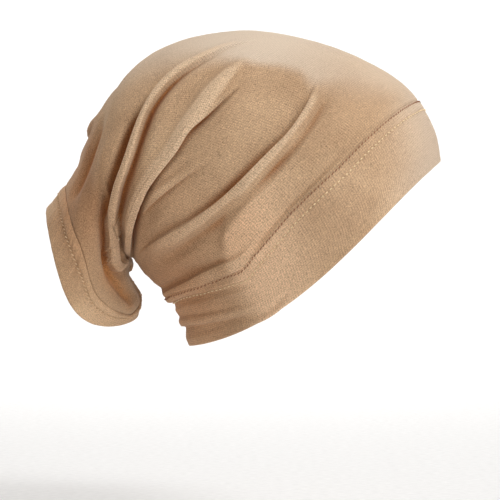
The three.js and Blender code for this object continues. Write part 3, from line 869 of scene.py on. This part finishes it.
def crownColumn(angle):
    # the rings of one column's points
    size = crownSize
    side = -1 if angle < 0 else 1
    crests = {name: crest for name, _, crest in foldCrests if crest["rows"][:, 1].mean() * side > 0}
    start = ringAtLength(angle, bandSeamRing(angle), -size["tuckUnder"])
    end = ringAtLength(angle, hemSeamRing(angle), size["tuckUnder"])
    stops = [crestAt(crests[name], angle, 0) for name in size["stopsAt"]]
    stops = [start, *stops[:-1], min(stops[-1], size["lastStop"]), end]
    least = size["gatherLeast"]
    gathers = [(crestAt(crest, angle, 0),
                size["gatherAt"].get(name, 0) * (least + (1 - least) * crestAt(crest, angle, 2, 0)))
               for name, crest in crests.items()]

    def weight(ring):
        gathered = sum(g * np.exp(-((ring - r) / size["gatherReach"]) ** 2) for r, g in gathers)
        atSeams = (size["seamGather"] * np.exp(-((ring - start) / size["bandSeamReach"]) ** 2)
                   + size["seamGather"] * np.exp(-((ring - end) / size["hemSeamReach"]) ** 2))
        return tubeLength(ring, angle) * (1 + gathered + atSeams)

    parts = [spread(count, stops[i], stops[i + 1], weight) for i, count in enumerate(size["rows"])]
    return np.concatenate([parts[0], *(part[1:] for part in parts[1:])])


def crownGrid():
    size = crownSize
    angles = sideAngles(size["columns"])
    rings = np.array([crownColumn(angle) for angle in angles]).T
    angles = np.broadcast_to(angles, rings.shape)
    points, rise = clothPoints(rings, angles)
    points = blurColumns(points, 1)
    fromStart = alongLengths(points)
    fromEnd = fromStart[-1:] - fromStart
    under, early, slope = size["tuckUnder"], size["tuckEarly"], size["tuckSlope"]
    tucked = sum(1 - smooth((length - under + early) / slope) for length in (fromStart, fromEnd))
    points = points - gridNormals(points) * (size["tuckDepth"] * tucked)[..., None]
    return points, angles[0], {"rise": rise, **shadesAt(rings, angles)}


# Front band and tail hem: double strips with a stitch row, a ridge beside it and a puckered seam

bandSize = {
    "columns": 420,
    "rows": 72,
    "wall": 2.0,
    "seamWall": {"thick": 0.7, "end": 3.5, "slope": 4},     # thinner near the seam
    # stitch rows and ridge lie so far from the seam
    "seamStitchAt": 0.8,
    "stitchAt": 7,
    "ridge": {"height": 0.3, "at": 3.5, "reach": 2.6},
    "groove": {"depth": 0.28, "reach": 0.8},
    "pucker": {"height": 0.2, "waves": (61, 23), "shift": 1, "at": 0, "reach": 11},
    "seamDip": {"depth": 0.2, "reach": 0.9},
    # the seam's ring at an angle of either side
    "seam": [(0, 1.97), (34, 2.14), (48, 2.14), (60, 2.07), (71, 1.95), (90, 1.85), (100, 1.86),
             (109, 1.95), (114, 1.94), (118, 1.81), (122, 1.71), (134, 1.69), (142, 1.73), (154, 1.87),
             (163, 1.97), (180, 2)],
}
hemSize = {
    "columns": 300,
    "rows": 46,
    "width": 19,
    "wall": 1.7,
    "seamWall": {"thick": 0.7, "end": 3.5, "slope": 4},
    # stitch row and ridge lie so far from the rim
    "stitchAt": 12,
    "ridge": {"height": 0.6, "at": 15.5, "reach": 2.7},
    "groove": {"depth": 0.3, "reach": 0.8},
    "pucker": {"height": 0.4, "waves": (37, 15), "shift": 2, "at": 12, "reach": 9},
    "seamDip": {"depth": 0, "reach": 0.9},
    # its width at an angle: narrower underneath, where the tail doubles back
    "widths": [(-180, 6.5), (-168, 10), (-150, 17), (-135, 19), (95, 19), (112, 18), (132, 15.5),
               (145, 12), (158, 8), (169, 5), (180, 6.5)],
}


def stripGrid(size, ringsOf, seamLast):
    # place is measured from the seam on the band and from the rim on the hem
    angles = sideAngles(size["columns"])
    rings = np.array([
        spread(size["rows"], *ringsOf(angle), lambda ring, turn=angle: tubeLength(ring, turn))
        for angle in angles]).T
    points, rise = clothPoints(rings, np.broadcast_to(angles, rings.shape))
    points = blurColumns(points, 1)
    if seamLast:
        place = fromSeam = alongLengths(points[::-1])[::-1]
    else:
        fromSeam = alongLengths(points)
        place = (fromSeam[-1:] - fromSeam) / fromSeam[-1:] * size["width"]
    ridge, groove, pucker, dip = (size[name] for name in ("ridge", "groove", "pucker", "seamDip"))
    height = (ridge["height"] * np.exp(-((place - ridge["at"]) / ridge["reach"]) ** 4)
              - groove["depth"] * np.exp(-((place - size["stitchAt"]) / groove["reach"]) ** 2))
    turn = np.radians(angles)
    wave = np.sin(turn * pucker["waves"][0]) * np.sin(turn * pucker["waves"][1] + pucker["shift"])
    puckered = np.exp(-((place - pucker["at"]) / pucker["reach"]) ** 2)
    height = height + wave * pucker["height"] * puckered
    height = height - dip["depth"] * np.exp(-(fromSeam / dip["reach"]) ** 2)
    points = points + gridNormals(points) * height[..., None]
    thin = size["seamWall"]
    thicker = smooth((fromSeam - thin["end"]) / thin["slope"])
    wall = thin["thick"] + (size["wall"] - thin["thick"]) * thicker
    return points, angles, wall, place, {"rise": rise, **shadesAt(rings, angles)}


crownPoints, crownAngles, crownShades = crownGrid()
crown = shell("crownJersey", crownPoints, crownSize["wall"], clothUv(crownPoints, crownAngles), crownShades)
print(f"crown: {len(crown.data.polygons) * 2} triangles")

bandPoints, bandAngles, bandWall, bandPlace, bandShades = stripGrid(
    bandSize, lambda angle: (0, bandSeamRing(angle)), seamLast=True)
frontBand = shell("frontBand", bandPoints, bandWall, clothUv(bandPoints, bandAngles), bandShades)
print(f"front band: {len(frontBand.data.polygons) * 2} triangles")

hemPoints, hemAngles, hemWall, hemPlace, hemShades = stripGrid(
    hemSize, lambda angle: (hemSeamRing(angle), tube["mouthRing"]), seamLast=False)
tailHem = shell("tailHem", hemPoints, hemWall, clothUv(hemPoints, hemAngles), hemShades)
print(f"tail hem: {len(tailHem.data.polygons) * 2} triangles")

# Stitches, small threads along a line on the cloth

stitchRows = {
    "bandUpper": {"length": 2.1, "gap": 0.9, "thick": 0.8, "slant": 0.45, "lift": 0.05},
    "bandLower": {"length": 2.0, "gap": 1.4, "thick": 0.9, "slant": 0.0, "lift": 0.3},
    "hem": {"length": 1.9, "gap": 1.2, "thick": 0.85, "slant": 0.5, "lift": 0.3},
}
threadShape = {
    "sides": 6,
    "rings": 5,
    "start": 0.1,       # share of the pitch before a stitch
    "ahead": 0.3,       # millimetres between two places that give its direction
    "thinEnds": 0.35,   # share of its thickness at a stitch's ends
    "swell": 0.5,       # below 1 it thickens quickly from its ends
    "bow": 0.25,        # how far its middle stands up
}


def lineAt(points, measure, value):
    # the closed line on a grid where a measure that changes along each column has a value
    normals = gridNormals(points)
    line, facing = [], []
    for j in range(points.shape[1]):
        order = np.argsort(measure[:, j])
        m = measure[order, j]
        line.append([np.interp(value, m, points[order, j, k]) for k in range(3)])
        facing.append([np.interp(value, m, normals[order, j, k]) for k in range(3)])
    return np.array(line), unit(np.array(facing))


def stitches(name, points, measure, value, size):
    line, facing = (np.vstack([part, part[:1]]) for part in lineAt(points, measure, value))
    run = np.concatenate([[0], np.cumsum(np.linalg.norm(np.diff(line, axis=0), axis=1))])
    count = int(run[-1] // (size["length"] + size["gap"]))
    pitch = run[-1] / count
    sides, rings, thin = threadShape["sides"], threadShape["rings"], threadShape["thinEnds"]

    def at(length):
        point = np.array([np.interp(length, run, line[:, k]) for k in range(3)])
        out = np.array([np.interp(length, run, facing[:, k]) for k in range(3)])
        return point, out / np.linalg.norm(out)

    vertices, faces = [], []
    for i in range(count):
        base = len(vertices)
        for step in range(rings):
            t = step / (rings - 1)
            length = (i + threadShape["start"]) * pitch + t * size["length"]
            point, out = at(length)
            ahead = at(length + threadShape["ahead"])[0] - point
            across = np.cross(out, ahead)
            across /= np.linalg.norm(across)
            arch = math.sin(math.pi * t)
            radius = size["thick"] / 2 * (thin + (1 - thin) * arch ** threadShape["swell"])
            lifted = out * (size["lift"] + threadShape["bow"] * arch)
            middle = point + across * size["slant"] * (2 * t - 1) + lifted
            for k in range(sides):
                turn = 2 * math.pi * k / sides
                corner = middle + across * radius * math.cos(turn) + out * radius * math.sin(turn)
                vertices.append(tuple(corner / 1000))
        for step in range(rings - 1):
            for k in range(sides):
                a, b = base + step * sides + k, base + step * sides + (k + 1) % sides
                faces.append((b, a, a + sides, b + sides))
        faces.append(tuple(base + k for k in range(sides)))
        faces.append(tuple(base + (rings - 1) * sides + k for k in reversed(range(sides))))
    return makePiece(name, vertices, faces)


bandUpperStitches = stitches("bandUpperStitches", bandPoints, bandPlace, bandSize["seamStitchAt"],
                             stitchRows["bandUpper"])
bandLowerStitches = stitches("bandLowerStitches", bandPoints, bandPlace, bandSize["stitchAt"],
                             stitchRows["bandLower"])
hemStitches = stitches("hemStitches", hemPoints, hemPlace, hemSize["stitchAt"], stitchRows["hem"])
print("stitches sewn")

# Materials

jersey = {
    "light": (0.49, 0.332, 0.202),
    "shade": (0.385, 0.248, 0.144),
    # painted light: paler colours for the top and for the bulges of the sides
    "top": (0.565, 0.468, 0.372),
    "bulge": (0.67, 0.46, 0.295),
    # painted highlight: the lighter colour of the crests
    "crest": (0.60, 0.44, 0.295),
    # painted shade: the darker colour of the pocket beside the tail's hem
    "pocket": (0.5, 0.235, 0.085),
    "warm": (0.87, 0.69, 0.585),
    # painted shade: the dark colour of the folds' valleys
    "fold": (0.31, 0.115, 0.032),
    "paintedLightTopShare": 0.85,
    "paintedLightBulgeShare": 0.9,
    "paintedShadePocketShare": 0.85,
    # rises between which the painted shade of a fold or the painted highlight of a crest comes in, and its
    # share there
    "foldShadeRise": (-1.3, -5.0, 0.95),
    "crestHighlightRise": (0.6, 2.6, 0.7),
    "patches": 15,
    "patchDetail": 3,
    "patchEdge": (0.35, 0.65, 1),
    "wale": 1.45,           # millimetres from one column of the knit to the next
    "course": 1.3,
    "mesh": 0.18,
    "speckle": 1.8,
    "speckleSize": 1400,
    "speckleDetail": 2,
    "speckleTop": (1.5, 0, 1),      # the speckle is weaker where the top is painted paler
    "bump": {"strength": 0.35, "distance": 0.0004, "knit": 0.5, "speckle": 0.8},
    "shader": {"Roughness": 0.88, "Sheen Weight": 0.25, "Sheen Roughness": 0.5,
               "Sheen Tint": (1, 0.85, 0.7, 1), "Specular IOR Level": 0.2},
}
# painted light: the band and the hem are lighter copies of the crown's jersey, the band also a little less
# saturated
jerseyTones = {
    "jersey": {"brightness": 1.0, "tint": (1, 1, 1)},
    "bandJersey": {"brightness": 1.065, "tint": (1, 1.01, 1.03)},
    "hemJersey": {"brightness": 1.13, "tint": (1, 1, 1)},
}
threads = {
    # real stitches whose dark colour is painted shade where the crown tucks under the band's edge
    "seamShadeThread": {"colour": (0.26, 0.11, 0.05), "roughness": 0.7},
    "thread": {"colour": (0.86, 0.67, 0.41), "roughness": 0.6},
    "hemThread": {"colour": (0.72, 0.51, 0.31), "roughness": 0.6},
}
threadSpecks = {"size": 1500, "darker": 0.8}


def newMaterial(name):
    material = bpy.data.materials.new(name)
    material.use_nodes = True
    tree = material.node_tree
    return material, tree, tree.nodes["Principled BSDF"]


def plug(tree, socket, value):
    # a number, a colour or another node's output
    if isinstance(value, tuple):
        socket.default_value = (*value, 1)
    elif isinstance(value, (int, float)):
        socket.default_value = value
    else:
        tree.links.new(value, socket)


def mathNode(tree, operation, first, second=0):
    node = tree.nodes.new("ShaderNodeMath")
    node.operation = operation
    plug(tree, node.inputs[0], first)
    plug(tree, node.inputs[1], second)
    return node.outputs[0]


def mixNode(tree, share, first, second, blend="MIX"):
    node = tree.nodes.new("ShaderNodeMix")
    node.data_type = "RGBA"
    node.blend_type = blend
    for socket, value in zip((node.inputs[0], node.inputs[6], node.inputs[7]), (share, first, second)):
        plug(tree, socket, value)
    return node.outputs[2]


def ramp(tree, value, start, end, most):
    # 0 where the value is at start, most where it is at end
    node = tree.nodes.new("ShaderNodeMapRange")
    node.interpolation_type = "SMOOTHSTEP"
    for socket, bound in (("From Min", start), ("From Max", end), ("To Min", 0), ("To Max", most)):
        node.inputs[socket].default_value = bound
    tree.links.new(value, node.inputs["Value"])
    return node.outputs[0]


def noiseNode(tree, scale, detail):
    where = tree.nodes.new("ShaderNodeTexCoord")
    node = tree.nodes.new("ShaderNodeTexNoise")
    node.inputs["Scale"].default_value = scale
    node.inputs["Detail"].default_value = detail
    tree.links.new(where.outputs["Object"], node.inputs["Vector"])
    return node.outputs["Fac"]


def shadeNode(tree, name):
    node = tree.nodes.new("ShaderNodeAttribute")
    node.attribute_name = name
    return node.outputs["Fac"]


def knitNode(tree):
    # the wales and courses of the knit, from -1 to 1
    uv = tree.nodes.new("ShaderNodeUVMap")
    uv.uv_map = "cloth"
    split = tree.nodes.new("ShaderNodeSeparateXYZ")
    tree.links.new(uv.outputs[0], split.inputs[0])
    wales, courses = (
        mathNode(tree, "SINE", mathNode(tree, "MULTIPLY", split.outputs[k], 2 * math.pi / jersey[size]))
        for k, size in enumerate(("wale", "course")))
    return mathNode(tree, "MULTIPLY", mathNode(tree, "ADD", wales, courses), 0.5)


def jerseyMaterial(name):
    material, tree, shader = newMaterial(name)
    knit = knitNode(tree)
    speckle = noiseNode(tree, jersey["speckleSize"], jersey["speckleDetail"])
    patches = noiseNode(tree, jersey["patches"], jersey["patchDetail"])
    rise, top, warm = (shadeNode(tree, shade) for shade in ("rise", "top", "warm"))

    def over(colour, shade, share):
        share = mathNode(tree, "MULTIPLY", shadeNode(tree, shade), share)
        return mixNode(tree, share, colour, jersey[shade])

    colour = mixNode(tree, ramp(tree, patches, *jersey["patchEdge"]), jersey["shade"], jersey["light"])
    # painted light: the top and the bulges of the sides are painted paler
    colour = over(colour, "top", jersey["paintedLightTopShare"])
    colour = over(colour, "bulge", jersey["paintedLightBulgeShare"])
    # painted highlight along the crests
    colour = mixNode(tree, ramp(tree, rise, *jersey["crestHighlightRise"]), colour, jersey["crest"])
    colour = mixNode(tree, warm, colour, jersey["warm"], "MULTIPLY")
    # painted shade in the folds' valleys
    colour = mixNode(tree, ramp(tree, rise, *jersey["foldShadeRise"]), colour, jersey["fold"])
    # painted shade in the pocket
    colour = over(colour, "pocket", jersey["paintedShadePocketShare"])
    specks = mathNode(tree, "MULTIPLY", mathNode(tree, "SUBTRACT", speckle, 0.5), jersey["speckle"])
    # the speckle fades under the painted light of the top
    specks = mathNode(tree, "MULTIPLY", specks, ramp(tree, top, *jersey["speckleTop"]))
    grain = mathNode(tree, "ADD", mathNode(tree, "MULTIPLY", knit, jersey["mesh"]), specks)
    grain = mathNode(tree, "ADD", grain, jerseyTones[name]["brightness"])
    tone = tree.nodes.new("ShaderNodeCombineColor")
    for socket in tone.inputs:
        tree.links.new(grain, socket)
    colour = mixNode(tree, 1.0, colour, tone.outputs[0], "MULTIPLY")
    colour = mixNode(tree, 1.0, colour, jerseyTones[name]["tint"], "MULTIPLY")
    tree.links.new(colour, shader.inputs["Base Color"])
    height = mathNode(tree, "ADD", mathNode(tree, "MULTIPLY", knit, jersey["bump"]["knit"]),
                      mathNode(tree, "MULTIPLY", speckle, jersey["bump"]["speckle"]))
    bump = tree.nodes.new("ShaderNodeBump")
    bump.inputs["Strength"].default_value = jersey["bump"]["strength"]
    bump.inputs["Distance"].default_value = jersey["bump"]["distance"]
    tree.links.new(height, bump.inputs["Height"])
    tree.links.new(bump.outputs[0], shader.inputs["Normal"])
    for socket, value in jersey["shader"].items():
        shader.inputs[socket].default_value = value
    return material


def plainMaterial(name, colour, roughness):
    material, tree, shader = newMaterial(name)
    speck = tree.nodes.new("ShaderNodeTexNoise")
    speck.inputs["Scale"].default_value = threadSpecks["size"]
    darker = tuple(c * threadSpecks["darker"] for c in colour)
    tree.links.new(mixNode(tree, speck.outputs["Fac"], darker, colour), shader.inputs["Base Color"])
    shader.inputs["Roughness"].default_value = roughness
    return material


for piece, name in ((crown, "jersey"), (frontBand, "bandJersey"), (tailHem, "hemJersey")):
    piece.data.materials.append(jerseyMaterial(name))
for piece, name in ((bandUpperStitches, "seamShadeThread"), (bandLowerStitches, "thread"),
                    (hemStitches, "hemThread")):
    piece.data.materials.append(plainMaterial(name, **threads[name]))
print("materials made")

# What each piece rides on and stands for

for piece, node, slot in ((crown, "crown", "jersey"), (frontBand, "front_band", "band"),
                          (tailHem, "tail_hem", "hem")):
    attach(piece, "root")
    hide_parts(node)
for piece, slot in ((bandUpperStitches, "band"), (bandLowerStitches, "band"), (hemStitches, "hem")):
    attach(piece, "root")

# Studio

studio = {
    "floor": {"height": -0.33, "halfWidth": 5, "front": -3.0, "back": 2.2, "bend": 1, "top": 4.0,
              "colour": (0.9, 0.9, 0.9), "roughness": 0.9},
    "key": {"place": (0.9, -0.9, 1.0), "size": 0.5, "power": 13.2, "aim": (0, 0, -0.1)},
    "front": {"place": (0.9, -1.2, -0.3), "size": 0.6, "power": 10, "aim": (0, 0, -0.1)},
    "side": {"place": (1.6, -0.5, 0.2), "size": 0.6, "power": 4, "aim": (0, 0, -0.1)},
    "top": {"place": (-0.25, -0.1, 1.3), "size": 0.8, "power": 10, "aim": (0, 0, -0.1)},
    "fill": {"place": (-1.0, -1.0, 0.2), "size": 0.9, "power": 2.1, "aim": (0, 0, -0.1),
             "colour": (1, 0.82, 0.64)},
    "wall": {"place": (0, 1.6, 1.9), "size": 1.4, "power": 55, "aim": (0, 3.2, 0.1)},
    "world": {"Color": (1, 0.93, 0.85, 1), "Strength": 0.22},
    "camera": {"place": (0, -1.4, -0.1434), "lens": 152.7, "sensor": 36},
}


def makeFloor():
    # a floor that turns up into a backdrop
    size = studio["floor"]
    height, back, bend = size["height"], size["back"], size["bend"]
    rows = [(size["front"], height)]
    for angle in range(0, 91, 10):
        t = math.radians(angle)
        rows.append((back + bend * math.sin(t), height + bend - bend * math.cos(t)))
    rows.append((back + bend, size["top"]))
    vertices = [(side * size["halfWidth"], y, z) for y, z in rows for side in (-1, 1)]
    faces = [(2 * i, 2 * i + 1, 2 * i + 3, 2 * i + 2) for i in range(len(rows) - 1)]
    floor = makePiece("floor", vertices, faces)
    floor.data.materials.append(plainMaterial("floorPaint", size["colour"], size["roughness"]))
    return floor


def areaLight(name, place, size, power, aim, colour=(1, 1, 1)):
    lamp = bpy.data.lights.new(name, "AREA")
    lamp.size = size
    lamp.energy = power
    lamp.color = colour
    light = bpy.data.objects.new(name, lamp)
    bpy.context.scene.collection.objects.link(light)
    light.location = place
    light.rotation_euler = (Vector(aim) - Vector(place)).to_track_quat("-Z", "Y").to_euler()


makeFloor()
for name in ("key", "front", "side", "top", "fill", "wall"):
    areaLight(name, **studio[name])
world = bpy.data.worlds.new("studio")
world.use_nodes = True
for socket, value in studio["world"].items():
    world.node_tree.nodes["Background"].inputs[socket].default_value = value
bpy.context.scene.world = world
bpy.context.scene.view_settings.view_transform = "Standard"

camera = bpy.data.objects.new("camera", bpy.data.cameras.new("camera"))
camera.location = studio["camera"]["place"]
camera.rotation_euler = (math.pi / 2, 0, 0)
camera.data.lens = studio["camera"]["lens"]
camera.data.sensor_width = studio["camera"]["sensor"]
bpy.context.scene.collection.objects.link(camera)
bpy.context.scene.camera = camera
print("studio set")
